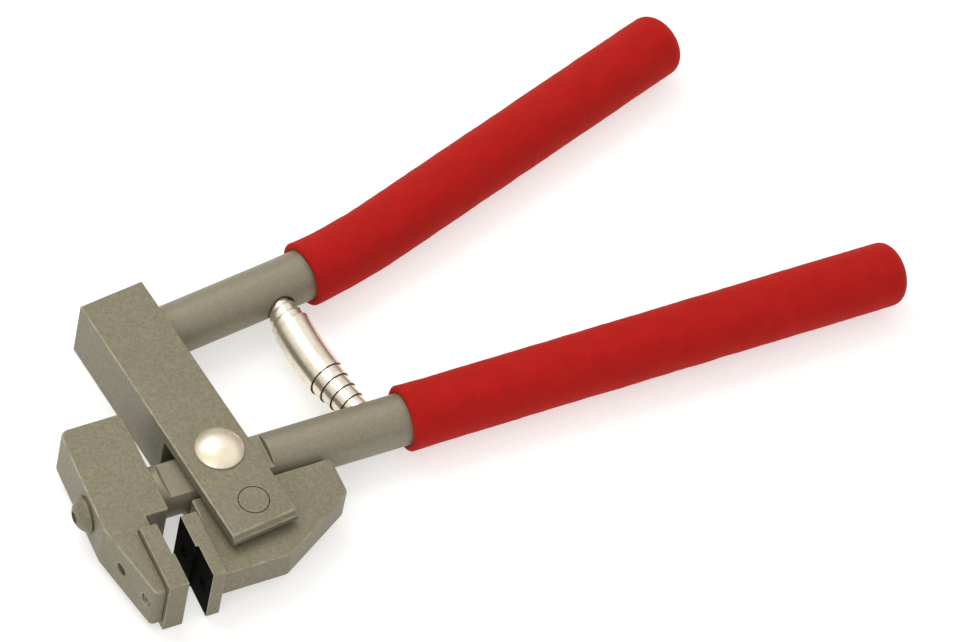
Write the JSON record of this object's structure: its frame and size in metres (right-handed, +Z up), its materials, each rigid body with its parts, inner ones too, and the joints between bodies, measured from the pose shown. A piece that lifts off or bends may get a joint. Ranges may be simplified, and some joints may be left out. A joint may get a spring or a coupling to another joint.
{
  "type": "parallel jaw setting pliers",
  "caption": "Hand pliers with a sliding parallel jaw, stepped dies, a fork lever, a volute return spring and soft red grips.",
  "frame": {"origin": "the pivot rivet's axis where it meets the plane that the pliers lie on, which is the back face of the fork bar", "axes": "+X along the lower rod from the jaws to the grip, +Y from the lower rod to the upper handle, +Z up, out of the fork bar's front face"},
  "size_m": [0.2736, 0.1504, 0.0254],
  "materials": {
    "hammer_paint": "grey-olive hammer finish enamel over steel",
    "die_steel": "hardened steel, ground working face, thin paint overspray",
    "rivet_chrome": "bright plated dome",
    "spring_plate": "dull bright nickel plate on spring strip",
    "fastener_steel": "zinc plated steel",
    "red_grip": "soft foamed vinyl, mottled surface"
  },
  "bodies": {
    "lower_lever": {"lower_rod": "hammer_paint", "jaw_block": "hammer_paint", "block_screw": "hammer_paint", "block_washer": "fastener_steel", "block_dowel": "fastener_steel", "fixed_die": "die_steel", "fixed_die_screw_upper": "fastener_steel", "fixed_die_screw_lower": "fastener_steel", "lower_spring_peg": "fastener_steel", "lower_grip": "red_grip", "volute_spring": "spring_plate"},
    "upper_lever": {"fork_bar": "hammer_paint", "upper_rod": "hammer_paint", "pivot_rivet": "rivet_chrome", "drive_pin": "hammer_paint", "upper_spring_peg": "fastener_steel", "upper_grip": "red_grip"},
    "sliding_jaw": {"jaw_plate": "hammer_paint", "sliding_die": "die_steel", "sliding_die_screw_upper": "fastener_steel", "sliding_die_screw_lower": "fastener_steel"}
  },
  "joints": [
    {"name": "handle_hinge", "type": "hinge", "parent": "lower_lever", "child": "upper_lever", "pos_m": [0, 0, 0.011], "axis": [0, 0, 1], "range_deg": [-21.1, 5], "stiffness_Nm_per_rad": 8, "deforming": ["volute_spring"]},
    {"name": "jaw_slide", "type": "slide", "parent": "lower_lever", "child": "sliding_jaw", "axis": [1, 0, 0], "range_m": [-0.00732, 0.00174]}
  ],
  "couplings": [
    {"joint": "jaw_slide", "follows": "handle_hinge", "m_per_rad": 0.01985}
  ]
}
